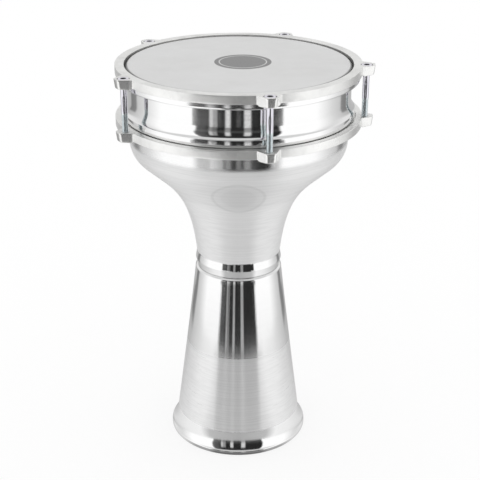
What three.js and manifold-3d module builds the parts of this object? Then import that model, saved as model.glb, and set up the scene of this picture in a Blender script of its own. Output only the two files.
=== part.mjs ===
// Darbuka: a metal goblet drum with an 8-inch film head, tuned by five recessed-head screws.
// Millimetres, +Z up. The drum stands on its foot, and the origin is at the middle of the
// underside of its bounding box. The drum's own axis lies beside it, because five lugs
// reach unequally far to the left and right, and to the front and back.
import * as THREE from 'three';
import { mergeVertices } from 'three/addons/utils/BufferGeometryUtils.js';
import { ConvexGeometry } from 'three/addons/geometries/ConvexGeometry.js';
import Module from 'manifold-3d';

const wasm = await Module();
wasm.setup();

// ---------------------------------------------------------------- driving dimensions
const HEIGHT = 385;         // floor to the top of the tension ring
const SHEET = 2;            // thickness of the spun bowl and foot
const GAP = 0.3;            // clearance between pieces that touch
const LUGS = 5;             // lugs on each ring, and screws
const FIRST_LUG_DEG = 12.8; // first lug, measured from the front (-Y) towards the right (+X)
const ROUND_STEPS = 40;     // facets round the drum, a multiple of LUGS
const HOLE_STEPS = 16;      // facets round a screw, a washer and their holes

// Radii of the bowl's outside, from the head down to the foot.
const COLLAR_R = 104.3;
const EDGE_R = 101.3;       // crest of the bearing edge, on which the head rests
const LIP_R = 108.3;        // rolled lip that the anchor ring pulls up against
const BOWL_R = 103;
const NECK_R = 40.8;
const BEAD_R = 41.9;
const GROOVE_R = 40.2;
const SPIGOT_R = 39.6;      // end of the bowl, inside the foot

// The flank between the bowl's wall and its neck.
const SHOULDER_BEND_R = 25;
const SHOULDER_TURN_DEG = 48.8;
const FLANK_STRAIGHT = 21;
const HOLLOW_PULL_TOP = 29; // pull of the hollow curve along the straight flank
const HOLLOW_PULL_R = 5.2;  // pull at its neck end, outwards and upwards
const HOLLOW_PULL_Z = 46.6;

// Heights of the same stations.
const HEAD_Z = 384;         // top of the playing surface
const EDGE_Z = 383.4;
const COLLAR_TOP_Z = 377;
const EDGE_BACK_Z = 380.4;  // end of the rolled edge, inside the collar
const FLARE_Z = 355;        // the collar starts to flare out into the lip here
const LIP_TOP_Z = 343.8;
const FLARE_PULL = 3.1;     // the flare's control point stands this far above the lip
const LIP_WALL_Z = 339.5;   // the lip rolls under from here
const SEAT_Z = 334.5;       // seat in the anchor ring, under the lip
const SHOULDER_Z = 312.8;
const NECK_Z = 197;
const BEAD_Z = 190;
const GROOVE_Z = 182.8;
const SPIGOT_Z = 160;
const FOOT_TOP_Z = 181.8;

// Foot: its cone, and the rim that it stands on.
const FOOT_SHOULDER_R = 42.5;
const CONE_END_R = 62.2;
const CONE_END_Z = 20;
const CONE_PULL_R = 50;     // control point that hollows the cone slightly
const CONE_PULL_Z = 112;
const FLARE_START_R = 67.6; // the flare runs from the rim's rolled edge up into the cone
const FLARE_START_Z = 4.8;
const FLARE_PULL_R = 63.6;
const FLARE_PULL_Z = 10;
const FOOT_LAND = 2.4;      // width of the flat face on the floor
const RIM_R = 69;           // widest, at the rolled edge
const RIM_FLAT_R = 67.6;    // outside of the flat face on the floor
const RIM_EDGE = 1.6;       // radius of the rolled edge

// Tension ring and anchor ring.
const RING_R = 114;
const RING_BORE_R = 105.6;
const RING_T = 8;
const ANCHOR_R = 115;
const ANCHOR_REBATE_R = 109;
const ANCHOR_BORE_R = 103.6;
const ANCHOR_TOP_Z = 336.8;
const ANCHOR_T = 8;

// Lugs, the same on both rings. Each is a wedge with a flat nose. Its underside drops from
// the ring's own underside to a belly round the screw, and rises a little towards the nose.
const LUG_REACH_R = 125;
const LUG_ROOT_R = 111;
const LUG_NOSE_HALF = 4.3;
const LUG_FLANK_SLOPE = 0.56; // how much each flank widens per millimetre towards the ring
const LUG_TAPER = 1.2;        // how much narrower each side of the nose is at the bottom
const LUG_NOSE_DRAFT = 1;     // how far the nose leans in at the bottom
const LUG_NOSE_T = 8.8;
const LUG_BELLY_R = 115.6;
const LUG_BELLY_T = 9.4;
const LUG_UNDERCUT_R = 112.3; // the belly starts inside the ring, clear of the hoop
const LUG_UNDERCUT_T = 7.6;

// M6 x 50 socket-head cap screws, on a circle round the head.
const SCREW_CIRCLE_R = 117.2;
const SHANK_R = 3;
const HOLE_R = 3.3;
const SCREW_L = 50;
const CAP_R = 5;
const CAP_H = 6;
const SOCKET_FLATS = 5;
const SOCKET_DEPTH = 3;
const POCKET_R = 5.6;       // counterbore round the cap
const WASHER_R = 5.2;
const WASHER_T = 1;
const CAP_TOP_Z = HEIGHT;
const POCKET_FLOOR_Z = CAP_TOP_Z - CAP_H - GAP - WASHER_T - GAP;

// Drumhead: polyester film, cast with resin into a channel-section hoop.
const FILM_T = 0.3;
const FILM_FLAT_R = 101.9;
const FILM_DIP_Z = 376;     // where the film passes over the hoop's inner wall
const HOOP_R = 112;
const HOOP_INNER_R = 105.2;
const HOOP_BASE_Z = 371.5;
const HOOP_TOP_Z = HEIGHT - RING_T - GAP;
const HOOP_INNER_TOP_Z = 375.2;
const HOOP_T = 0.8;
const HOOP_BEND = 1.6;      // rolled lower corner of the channel
const RESIN_TOP_Z = 374;

// Small roundings, as one chamfer each.
const BREAK = 0.5;
const LIP_ROLL = 1.8;

// ---------------------------------------------------------------- materials
const metal = (color, roughness) => new THREE.MeshStandardMaterial({ color, roughness, metalness: 1 });
const materials = {
  spunMetal: metal(0xd9dadb, 0.28),
  castMetal: metal(0xd3d4d2, 0.32),
  hoopMetal: metal(0xe4e4e2, 0.15),
  screwSteel: metal(0x9b9da6, 0.2),
  film: new THREE.MeshStandardMaterial({ color: 0xd7d7d6, roughness: 0.55, metalness: 0 }),
  resin: new THREE.MeshStandardMaterial({ color: 0x9a8f7d, roughness: 0.5, metalness: 0 }),
};

// ---------------------------------------------------------------- outlines and solids
const at = (r, z) => new THREE.Vector2(r, z);
const rad = THREE.MathUtils.degToRad;

// Points of a round stretch of an outline, its centre at (r, z), from one angle to another.
// Angles are in degrees: 0 points away from the axis, 90 points up.
function arc(r, z, radius, fromDeg, toDeg, steps) {
  const curve = new THREE.EllipseCurve(r, z, radius, radius, rad(fromDeg), rad(toDeg), toDeg < fromDeg);
  return curve.getPoints(steps);
}

// The same outline moved sideways by the sheet's thickness, for a wall's inner side.
function offsetInward(points, distance) {
  return points.map((p, i) => {
    const before = points[Math.max(i - 1, 0)];
    const after = points[Math.min(i + 1, points.length - 1)];
    const along = after.clone().sub(before).normalize();
    return at(p.x - along.y * distance, p.y + along.x * distance);
  });
}

// Turns an outline round +Z. It runs anticlockwise in (radius, height): up the outside and
// down the inside. It closes on itself, or starts and ends on the axis.
function turned(outline, steps) {
  const closed = outline[0].x === 0 ? outline : [...outline, outline[0].clone()];
  return new THREE.LatheGeometry(closed, steps).rotateX(Math.PI / 2);
}

function toManifold(geometry) {
  const bare = geometry.clone();
  bare.deleteAttribute('normal');
  bare.deleteAttribute('uv');
  const merged = mergeVertices(bare, 1e-4);
  const corners = merged.index.array;
  const triangles = [];
  for (let i = 0; i < corners.length; i += 3) {
    const [a, b, c] = corners.slice(i, i + 3);
    if (a !== b && b !== c && c !== a) {
      triangles.push(a, b, c);
    }
  }
  return new wasm.Manifold(new wasm.Mesh({
    numProp: 3,
    vertProperties: Float32Array.from(merged.attributes.position.array),
    triVerts: Uint32Array.from(triangles),
  }));
}

function toGeometry(solid) {
  const mesh = solid.getMesh();
  const geometry = new THREE.BufferGeometry();
  geometry.setAttribute('position', new THREE.BufferAttribute(mesh.vertProperties, 3));
  geometry.setIndex(new THREE.BufferAttribute(mesh.triVerts, 1));
  geometry.computeVertexNormals();
  return geometry;
}

const drum = new THREE.Group();

function addPiece(name, geometry, material) {
  const mesh = new THREE.Mesh(geometry, material);
  mesh.name = name;
  drum.add(mesh);
}

// ---------------------------------------------------------------- bowl and foot
// Outside of the bowl below its lip: wall, rounded shoulder, straight flank, and a long
// hollow curve into the neck. From the lip down to the neck.
function bowlFlank() {
  const bend = SHOULDER_BEND_R;
  const shoulder = arc(BOWL_R - bend, SHOULDER_Z, bend, 0, -SHOULDER_TURN_DEG, 5);
  const down = at(-Math.sin(rad(SHOULDER_TURN_DEG)), -Math.cos(rad(SHOULDER_TURN_DEG)));
  const start = shoulder.at(-1).clone().addScaledVector(down, FLANK_STRAIGHT);
  const hollow = new THREE.CubicBezierCurve(
    start,
    start.clone().addScaledVector(down, HOLLOW_PULL_TOP),
    at(NECK_R + HOLLOW_PULL_R, NECK_Z + HOLLOW_PULL_Z),
    at(NECK_R, NECK_Z),
  );
  return [at(BOWL_R, SEAT_Z - LIP_ROLL), ...shoulder, ...hollow.getPoints(7)];
}

function bowlShell() {
  const flank = bowlFlank();
  const inside = offsetInward([...flank].reverse(), SHEET).reverse().slice(0, -1);
  const boreR = COLLAR_R - SHEET;
  const flare = new THREE.QuadraticBezierCurve(
    at(LIP_R - GAP, LIP_TOP_Z),
    at(COLLAR_R, LIP_TOP_Z + FLARE_PULL),
    at(COLLAR_R, FLARE_Z),
  );
  return turned([
    at(SPIGOT_R - SHEET, SPIGOT_Z),
    at(SPIGOT_R, SPIGOT_Z),
    at(SPIGOT_R, GROOVE_Z - LIP_ROLL),
    at(GROOVE_R, GROOVE_Z),
    at(BEAD_R, BEAD_Z - BREAK),
    at(BEAD_R, BEAD_Z + BREAK),
    ...[...flank].reverse(),
    at(BOWL_R, SEAT_Z + GAP),
    at(LIP_R - LIP_ROLL, SEAT_Z + GAP),
    at(LIP_R - BREAK, SEAT_Z + LIP_ROLL),
    at(LIP_R, LIP_WALL_Z),
    at(LIP_R, LIP_TOP_Z - BREAK),
    ...flare.getPoints(4),
    at(COLLAR_R, COLLAR_TOP_Z),
    at(EDGE_R + 2 * BREAK, EDGE_Z - BREAK),
    at(EDGE_R, EDGE_Z),
    at(EDGE_R - 2 * BREAK, EDGE_Z - BREAK),
    at(EDGE_R - SHEET, EDGE_Z - SHEET),
    at(EDGE_R - SHEET / 2, EDGE_BACK_Z),
    at(boreR, COLLAR_TOP_Z - SHEET),
    at(boreR, LIP_TOP_Z),
    ...inside,
    at(SPIGOT_R - SHEET, NECK_Z - 2 * SHEET),
  ], ROUND_STEPS);
}

function footShell() {
  const cone = new THREE.QuadraticBezierCurve(
    at(CONE_END_R, CONE_END_Z),
    at(CONE_PULL_R, CONE_PULL_Z),
    at(FOOT_SHOULDER_R, FOOT_TOP_Z - 2 * SHEET),
  ).getPoints(5);
  const flare = new THREE.QuadraticBezierCurve(
    at(FLARE_START_R, FLARE_START_Z),
    at(FLARE_PULL_R, FLARE_PULL_Z),
    at(CONE_END_R, CONE_END_Z),
  ).getPoints(3).slice(0, -1);
  const outside = [...flare, ...cone];
  const inside = offsetInward(outside, SHEET).reverse().slice(1);
  const collarR = SPIGOT_R + GAP;
  return turned([
    at(RIM_FLAT_R - FOOT_LAND, 0),
    at(RIM_FLAT_R, 0),
    at(RIM_R, RIM_EDGE),
    at(RIM_R, RIM_EDGE * 2),
    ...outside,
    at(GROOVE_R + 2 * BREAK, FOOT_TOP_Z - BREAK),
    at(GROOVE_R + BREAK, FOOT_TOP_Z),
    at(collarR, FOOT_TOP_Z),
    at(collarR, FOOT_TOP_Z - 2 * SHEET),
    ...inside,
  ], ROUND_STEPS);
}

// ---------------------------------------------------------------- rings with lugs
const lugAngles = Array.from({ length: LUGS }, (_, i) => rad(FIRST_LUG_DEG + (360 / LUGS) * i));
const lugPlace = (angle) => new THREE.Matrix4().makeRotationZ(angle);

// Half a lug's width at a radius, at its top or, drawn in by the taper, at its bottom.
const topHalf = (r) => LUG_NOSE_HALF + LUG_FLANK_SLOPE * (LUG_REACH_R - r);
const lowHalf = (r) => topHalf(r) - LUG_TAPER * (r - LUG_ROOT_R) / (LUG_REACH_R - LUG_ROOT_R);

// One lug, pointing to the front.
function lug(topZ) {
  const noseLowR = LUG_REACH_R - LUG_NOSE_DRAFT;
  const corners = [];
  for (const side of [-1, 1]) {
    corners.push(new THREE.Vector3(side * topHalf(LUG_ROOT_R), -LUG_ROOT_R, topZ));
    corners.push(new THREE.Vector3(side * topHalf(LUG_REACH_R), -LUG_REACH_R, topZ));
    corners.push(new THREE.Vector3(side * lowHalf(noseLowR), -noseLowR, topZ - LUG_NOSE_T));
    corners.push(new THREE.Vector3(side * lowHalf(LUG_BELLY_R), -LUG_BELLY_R, topZ - LUG_BELLY_T));
    corners.push(new THREE.Vector3(side * lowHalf(LUG_UNDERCUT_R), -LUG_UNDERCUT_R, topZ - LUG_UNDERCUT_T));
  }
  return new ConvexGeometry(corners);
}

// A ring with its lugs joined on, and the same cut made through each lug.
function luggedRing(ring, topZ, cut) {
  let solid = toManifold(turned(ring, ROUND_STEPS));
  for (const angle of lugAngles) {
    solid = solid.add(toManifold(lug(topZ).applyMatrix4(lugPlace(angle))));
  }
  for (const angle of lugAngles) {
    const cutter = turned(cut, HOLE_STEPS).translate(0, -SCREW_CIRCLE_R, 0);
    solid = solid.subtract(toManifold(cutter.applyMatrix4(lugPlace(angle))));
  }
  return toGeometry(solid);
}

function tensionRing() {
  const base = HEIGHT - RING_T;
  const ring = [at(RING_BORE_R, base), at(RING_R, base), at(RING_R, HEIGHT), at(RING_BORE_R, HEIGHT)];
  const pocket = [
    at(0, HEIGHT - LUG_BELLY_T - 1),
    at(HOLE_R, HEIGHT - LUG_BELLY_T - 1),
    at(HOLE_R, POCKET_FLOOR_Z),
    at(POCKET_R, POCKET_FLOOR_Z),
    at(POCKET_R, HEIGHT + 1),
    at(0, HEIGHT + 1),
  ];
  return luggedRing(ring, HEIGHT, pocket);
}

function anchorRing() {
  const base = ANCHOR_TOP_Z - ANCHOR_T;
  const ring = [
    at(ANCHOR_BORE_R, base),
    at(ANCHOR_R, base),
    at(ANCHOR_R, ANCHOR_TOP_Z),
    at(ANCHOR_REBATE_R, ANCHOR_TOP_Z),
    at(ANCHOR_REBATE_R, SEAT_Z),
    at(ANCHOR_BORE_R, SEAT_Z),
  ];
  const hole = [
    at(0, ANCHOR_TOP_Z - LUG_BELLY_T - 1),
    at(HOLE_R, ANCHOR_TOP_Z - LUG_BELLY_T - 1),
    at(HOLE_R, ANCHOR_TOP_Z + 1),
    at(0, ANCHOR_TOP_Z + 1),
  ];
  return luggedRing(ring, ANCHOR_TOP_Z, hole);
}

// ---------------------------------------------------------------- head
// The film runs flat over the bearing edge, bends down outside it, passes over the hoop's
// low inner wall and ends just above the resin.
function drumheadFilm() {
  const bendR = COLLAR_R + GAP;
  const dipR = HOOP_INNER_R + HOOP_T + GAP;
  const under = [
    at(0, HEAD_Z - FILM_T),
    at(FILM_FLAT_R - GAP, HEAD_Z - FILM_T),
    at(FILM_FLAT_R + 2 * BREAK, HEAD_Z - FILM_T - BREAK),
    at(bendR, COLLAR_TOP_Z + GAP),
    at(dipR, FILM_DIP_Z - FILM_T),
    at(dipR, RESIN_TOP_Z + GAP),
  ];
  const top = [
    at(dipR + FILM_T, RESIN_TOP_Z + GAP),
    at(dipR + FILM_T, FILM_DIP_Z),
    at(bendR + FILM_T, COLLAR_TOP_Z + BREAK),
    at(FILM_FLAT_R + 2 * BREAK + FILM_T, HEAD_Z - BREAK),
    at(FILM_FLAT_R, HEAD_Z),
    at(0, HEAD_Z),
  ];
  return turned([...under, ...top], ROUND_STEPS);
}

function headHoop() {
  const floorZ = HOOP_BASE_Z + HOOP_T;
  const insideR = HOOP_R - HOOP_T;
  const insideBend = HOOP_BEND - BREAK;
  return turned([
    at(HOOP_INNER_R, HOOP_BASE_Z + BREAK),
    at(HOOP_INNER_R + BREAK, HOOP_BASE_Z),
    at(HOOP_R - HOOP_BEND, HOOP_BASE_Z),
    at(HOOP_R, HOOP_BASE_Z + HOOP_BEND),
    at(HOOP_R, HOOP_TOP_Z - BREAK),
    at(HOOP_R - BREAK, HOOP_TOP_Z),
    at(insideR, HOOP_TOP_Z),
    at(insideR, floorZ + insideBend),
    at(insideR - insideBend, floorZ),
    at(HOOP_INNER_R + HOOP_T, floorZ),
    at(HOOP_INNER_R + HOOP_T, HOOP_INNER_TOP_Z),
    at(HOOP_INNER_R, HOOP_INNER_TOP_Z),
  ], ROUND_STEPS);
}

function headResin() {
  const inner = HOOP_INNER_R + HOOP_T + GAP;
  const outer = HOOP_R - HOOP_T - GAP;
  const base = HOOP_BASE_Z + HOOP_T + GAP;
  return turned([
    at(inner, base),
    at(outer - HOOP_BEND, base),
    at(outer, base + HOOP_BEND),
    at(outer, RESIN_TOP_Z),
    at(inner, RESIN_TOP_Z),
  ], ROUND_STEPS);
}

// ---------------------------------------------------------------- screws and washers
function tensionScrew() {
  const capZ = CAP_TOP_Z - CAP_H;
  const tipZ = capZ - SCREW_L;
  const body = turned([
    at(0, tipZ),
    at(SHANK_R - BREAK, tipZ),
    at(SHANK_R, tipZ + BREAK),
    at(SHANK_R, capZ),
    at(CAP_R, capZ),
    at(CAP_R, CAP_TOP_Z - BREAK),
    at(CAP_R - BREAK, CAP_TOP_Z),
    at(0, CAP_TOP_Z),
  ], HOLE_STEPS);
  const acrossCorners = SOCKET_FLATS / Math.cos(Math.PI / 6) / 2;
  const key = new THREE.CylinderGeometry(acrossCorners, acrossCorners, SOCKET_DEPTH * 2, 6)
    .rotateX(Math.PI / 2)
    .translate(0, 0, CAP_TOP_Z);
  return toManifold(body).subtract(toManifold(key));
}

function screwWasher() {
  const base = POCKET_FLOOR_Z + GAP;
  return turned([
    at(HOLE_R, base),
    at(WASHER_R, base),
    at(WASHER_R, base + WASHER_T),
    at(HOLE_R, base + WASHER_T),
  ], HOLE_STEPS);
}

addPiece('bowl_shell', bowlShell(), materials.spunMetal);
addPiece('foot_shell', footShell(), materials.spunMetal);
addPiece('anchor_ring', anchorRing(), materials.castMetal);
addPiece('tension_ring', tensionRing(), materials.castMetal);
addPiece('drumhead_film', drumheadFilm(), materials.film);
addPiece('head_hoop', headHoop(), materials.hoopMetal);
addPiece('head_resin', headResin(), materials.resin);
lugAngles.forEach((angle, i) => {
  const place = lugPlace(angle).multiply(new THREE.Matrix4().makeTranslation(0, -SCREW_CIRCLE_R, 0));
  const screw = toGeometry(tensionScrew()).applyMatrix4(place);
  addPiece(`tension_screw_${i + 1}`, screw, materials.screwSteel);
  addPiece(`screw_washer_${i + 1}`, screwWasher().applyMatrix4(place), materials.screwSteel);
});

// The origin goes to the middle of the box's underside, where the drum stands.
const box = new THREE.Box3().setFromObject(drum, true);
const middle = box.getCenter(new THREE.Vector3());
drum.position.set(-middle.x, -middle.y, 0);

export default drum;
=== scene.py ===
import math

import bpy
from mathutils import Matrix, Vector
from mathutils.geometry import delaunay_2d_cdt


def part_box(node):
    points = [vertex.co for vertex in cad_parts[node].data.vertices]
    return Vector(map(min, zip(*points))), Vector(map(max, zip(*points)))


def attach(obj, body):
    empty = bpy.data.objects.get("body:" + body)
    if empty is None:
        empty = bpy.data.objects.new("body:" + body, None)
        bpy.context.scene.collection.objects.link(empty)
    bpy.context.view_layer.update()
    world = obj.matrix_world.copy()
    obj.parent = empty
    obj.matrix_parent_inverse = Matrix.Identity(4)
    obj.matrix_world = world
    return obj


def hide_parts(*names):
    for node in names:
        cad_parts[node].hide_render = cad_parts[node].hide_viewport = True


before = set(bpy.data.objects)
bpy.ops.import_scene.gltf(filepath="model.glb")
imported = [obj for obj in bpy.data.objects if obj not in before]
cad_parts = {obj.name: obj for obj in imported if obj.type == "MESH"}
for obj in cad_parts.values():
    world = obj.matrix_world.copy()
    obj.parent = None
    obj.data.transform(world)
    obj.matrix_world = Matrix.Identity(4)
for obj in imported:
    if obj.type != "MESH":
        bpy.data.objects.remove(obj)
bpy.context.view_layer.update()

# The darbuka's finished looks. Outlines are in millimetres about the drum's own axis, which
# stands where the foot's middle is; objects are in metres in the row frame.
MM = 0.001
ROUND = 240        # segments round the drum, a multiple of the five lugs
foot_low, foot_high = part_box("foot_shell")
AXIS = Vector(((foot_low[0] + foot_high[0]) / 2, (foot_low[1] + foot_high[1]) / 2, 0.0))


# ---------------------------------------------------------------- mesh helpers
def make_object(name, verts, faces, place=None, sharp_deg=32.0):
    mesh = bpy.data.meshes.new(name)
    mesh.from_pydata([Vector(v) * MM for v in verts], [], faces)
    mesh.validate()
    mesh.polygons.foreach_set("use_smooth", [True] * len(mesh.polygons))
    mesh.set_sharp_from_angle(angle=math.radians(sharp_deg))
    obj = bpy.data.objects.new(name, mesh)
    bpy.context.scene.collection.objects.link(obj)
    obj.matrix_world = Matrix.Translation(AXIS) if place is None else place
    return obj


def loft(rings, close=False):
    """Faces between rings of equally many points; a ring of one point is a tip."""
    verts, starts, faces = [], [], []
    for ring in rings:
        starts.append((len(verts), len(ring)))
        verts.extend(ring)
    count = max(n for _, n in starts)
    pairs = list(zip(starts, starts[1:]))
    if close:
        pairs.append((starts[-1], starts[0]))
    for (a, na), (b, nb) in pairs:
        for j in range(count):
            k = (j + 1) % count
            if na == 1:
                faces.append((a, b + k, b + j))
            elif nb == 1:
                faces.append((a + j, a + k, b))
            else:
                faces.append((a + j, a + k, b + k, b + j))
    return verts, faces


def circle(r, z, steps):
    turn = 2 * math.pi / steps
    return [(r * math.cos(turn * j), r * math.sin(turn * j), z) for j in range(steps)]


def lathe(name, outline, steps=ROUND, place=None, sharp_deg=32.0):
    """Turns an outline of (r, z), up the outside and down the inside, round the axis."""
    on_axis = outline[0][0] < 1e-6
    rings = [[(0.0, 0.0, z)] if r < 1e-6 else circle(r, z, steps) for r, z in outline]
    return make_object(name, *loft(rings, close=not on_axis), place=place, sharp_deg=sharp_deg)


def bezier(points, steps):
    """Points along a quadratic or cubic Bezier curve."""
    out = []
    for i in range(steps + 1):
        t = i / steps
        row = [Vector(p) for p in points]
        while len(row) > 1:
            row = [a.lerp(b, t) for a, b in zip(row, row[1:])]
        out.append((row[0].x, row[0].y))
    return out


def softened(corners, steps=5, closed=True):
    """Rounds an outline's corners, given as (r, z, radius); a radius of 0 keeps the point."""
    out = []
    count = len(corners)
    for i, (x, y, radius) in enumerate(corners):
        here = Vector((x, y))
        end = not closed and i in (0, count - 1)
        if radius <= 0 or end:
            out.append((x, y))
            continue
        before = Vector(corners[i - 1][:2]) - here
        after = Vector(corners[(i + 1) % count][:2]) - here
        half = before.angle(after) / 2
        cut = min(radius / math.tan(half), 0.48 * before.length, 0.48 * after.length)
        guard = min(0.3 * cut + 0.05, 0.49 * before.length - cut, 0.49 * after.length - cut)
        first = here + before.normalized() * cut
        last = here + after.normalized() * cut
        if guard > 0.01:
            out.append(tuple(first + before.normalized() * guard))
        out.extend(bezier([first, here, last], steps))
        if guard > 0.01:
            out.append(tuple(last + after.normalized() * guard))
    return out


def inward(points, distance):
    """The outline moved to its left, for the inner side of a sheet."""
    moved = []
    for i, p in enumerate(points):
        a = Vector(points[max(i - 1, 0)])
        b = Vector(points[min(i + 1, len(points) - 1)])
        along = (b - a).normalized()
        moved.append((p[0] - along.y * distance, p[1] + along.x * distance))
    return moved


# ---------------------------------------------------------------- dimensions, as in the CAD
COLLAR_R, EDGE_R, LIP_R, BOWL_R = 104.3, 101.3, 108.3, 103.0
NECK_R, BEAD_R, GROOVE_R, SPIGOT_R = 40.8, 41.9, 40.2, 39.6
HEAD_Z, EDGE_Z, COLLAR_TOP_Z, FLARE_Z = 384.0, 383.4, 377.0, 355.0
LIP_TOP_Z, FLARE_PULL, LIP_WALL_Z, SEAT_Z = 343.8, 3.1, 339.5, 334.5
SHOULDER_Z, NECK_Z, BEAD_Z, GROOVE_Z, SPIGOT_Z = 312.8, 197.0, 190.0, 182.8, 160.0
EDGE_BACK_Z, SHEET, GAP, HEIGHT = 380.4, 2.0, 0.3, 385.0
SHOULDER_BEND_R, SHOULDER_TURN_DEG, FLANK_STRAIGHT = 25.0, 48.8, 21.0
HOLLOW_PULL_TOP, HOLLOW_PULL_R, HOLLOW_PULL_Z = 29.0, 5.2, 46.6
FOOT_TOP_Z, FOOT_SHOULDER_R = 181.8, 42.5
CONE_END_R, CONE_END_Z, CONE_PULL_R, CONE_PULL_Z = 62.2, 20.0, 50.0, 112.0
FLARE_START_R, FLARE_START_Z, FLARE_PULL_R, FLARE_PULL_Z = 67.6, 4.8, 63.6, 10.0
FOOT_LAND, RIM_R, RIM_FLAT_R, RIM_EDGE = 2.4, 69.0, 67.6, 1.6
RING_R, RING_BORE_R, RING_T = 114.0, 105.6, 8.0
ANCHOR_R, ANCHOR_REBATE_R, ANCHOR_BORE_R, ANCHOR_TOP_Z, ANCHOR_T = 115.0, 109.0, 103.6, 336.8, 8.0
LUG_REACH_R, LUG_ROOT_R, LUG_NOSE_HALF, LUG_FLANK_SLOPE = 125.0, 111.0, 4.3, 0.56
LUG_TAPER, LUG_NOSE_DRAFT, LUG_NOSE_T, LUG_BELLY_R, LUG_BELLY_T = 1.2, 1.0, 8.8, 115.6, 9.4
SCREW_CIRCLE_R, SHANK_R, HOLE_R, SCREW_L = 117.2, 3.0, 3.3, 50.0
CAP_R, CAP_H, CAP_TOP_Z, SOCKET_FLATS, SOCKET_DEPTH = 5.0, 6.0, 385.0, 5.0, 3.0
POCKET_R, POCKET_FLOOR_Z, WASHER_R, WASHER_T = 5.6, 377.4, 5.2, 1.0
FILM_T, FILM_FLAT_R, FILM_DIP_Z = 0.3, 101.9, 376.0
HOOP_R, HOOP_INNER_R, HOOP_BASE_Z, HOOP_TOP_Z, HOOP_INNER_TOP_Z = 112.0, 105.2, 371.5, 376.7, 375.2
HOOP_T, RESIN_TOP_Z = 0.8, 374.0
LUGS, FIRST_LUG_DEG = 5, 12.8
LUG_ANGLES = [math.radians(FIRST_LUG_DEG + 360.0 / LUGS * i) for i in range(LUGS)]

# Finer details, which the CAD leaves out.
LUG_FILLET, LUG_CORNER = 0.8, 1.6    # rounding where a lug leaves its ring, and of its nose
CAST_EDGE = 0.45         # rounding of the castings' edges, doubled under the lugs
FACE_INSET = 1.5         # width of the first row of faces round a casting's bore
HOLE_STEPS = 56          # segments round a hole in a casting
RIM_ROLL_Z = 3.4         # top of the foot's rolled rim
FILM_EDGE_R, FILM_MIDDLE_R, MARK_HEART_R = 98.0, 60.0, 20.0    # rings that divide flat discs
MARK_R = 26.4            # the print on the film
MARK_RING_R, MARK_RING_WIDTH = 21.2, 1.25    # the light ring in the print: inside and width
MARK_OFFSET = (3.7, 1.0)                     # the print's middle, off the drum's axis
THREAD_L, PITCH, THREAD_DEPTH = 24.0, 1.0, 0.56
GROOVE_HALF = 0.42       # share of the pitch from a groove's bottom to its crest
TIP_R, TIP_FLAT_R = 2.3, 1.7    # the screw's tip, and the flat inside its rounding
KNURL = 0.12             # depth of the knurling round the cap
SCREW_SPIN = 0.7         # radians by which each screw's socket is turned from the last
SOCKET_SHADE_Z = 55.8    # height up the screw below which its socket is painted dark, as painted shade
SCREW_STEPS = 48


# ---------------------------------------------------------------- bowl
def bowl_flank():
    """The bowl's outside from its seat in the anchor ring down to the neck."""
    turn = math.radians(SHOULDER_TURN_DEG)
    bend = SHOULDER_BEND_R
    steps = 16
    shoulder = [
        (
            BOWL_R - bend + bend * math.cos(turn * i / steps),
            SHOULDER_Z - bend * math.sin(turn * i / steps),
        )
        for i in range(steps + 1)
    ]
    down = Vector((-math.sin(turn), -math.cos(turn)))
    start = Vector(shoulder[-1]) + down * FLANK_STRAIGHT
    top_pull = start + down * HOLLOW_PULL_TOP
    neck_pull = (NECK_R + HOLLOW_PULL_R, NECK_Z + HOLLOW_PULL_Z)
    hollow = bezier([start, top_pull, neck_pull, (NECK_R, NECK_Z)], 60)
    wall = [(BOWL_R, SEAT_Z - 1.8), (BOWL_R, 324.0), (BOWL_R, 317.0)]
    return wall + shoulder + hollow


def spun_bowl():
    """One sheet from the bearing edge to the spigot inside the foot."""
    outside = bowl_flank()[::-1]
    inner = inward(outside, SHEET)[::-1][1:-1]
    bore = COLLAR_R - SHEET
    flare_pull = (COLLAR_R, LIP_TOP_Z + FLARE_PULL)
    flare = bezier([(LIP_R - 0.3, LIP_TOP_Z), flare_pull, (COLLAR_R, FLARE_Z)], 22)
    lip = softened(
        [
            (BOWL_R, SEAT_Z + GAP, 0),
            (LIP_R - 0.6, SEAT_Z + GAP, 1.6),
            (LIP_R, LIP_WALL_Z, 2.0),
            (LIP_R, LIP_TOP_Z - 0.1, 0.7),
            flare[1] + (0,),
        ],
        closed=False,
    )
    neck_band = softened(
        [
            (SPIGOT_R - SHEET, SPIGOT_Z, 0),
            (SPIGOT_R, SPIGOT_Z, 0.3),
            (SPIGOT_R, GROOVE_Z - 1.6, 0.4),
            (GROOVE_R, GROOVE_Z, 0.5),
            (BEAD_R, BEAD_Z - 0.4, 0.7),
            (BEAD_R - 0.05, BEAD_Z + 0.6, 0.6),
            (NECK_R + 0.02, NECK_Z - 0.3, 0),
        ],
        closed=False,
    )
    edge = (EDGE_R, EDGE_Z)
    crest_pull = [(COLLAR_R - 0.2, EDGE_Z - 0.8), (EDGE_R + 0.9, EDGE_Z)]
    crest = bezier([(COLLAR_R, COLLAR_TOP_Z), *crest_pull, edge], 10)
    curl_pull = [(EDGE_R - 2.4, EDGE_Z), (EDGE_R - 2.6, EDGE_BACK_Z + 0.1)]
    curl = bezier([edge, *curl_pull, (EDGE_R - 0.8, EDGE_BACK_Z)], 8)
    outline = (
        neck_band
        + outside
        + lip
        + flare[2:]
        + [(COLLAR_R, FLARE_Z + 4), (COLLAR_R, 366.0), (COLLAR_R, COLLAR_TOP_Z - 2)]
        + crest
        + curl[1:]
        + [(bore, COLLAR_TOP_Z - 2), (bore, LIP_TOP_Z)]
        + inner
        + [(SPIGOT_R - SHEET, NECK_Z - 4)]
    )
    return lathe("spun_bowl", outline)


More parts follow.
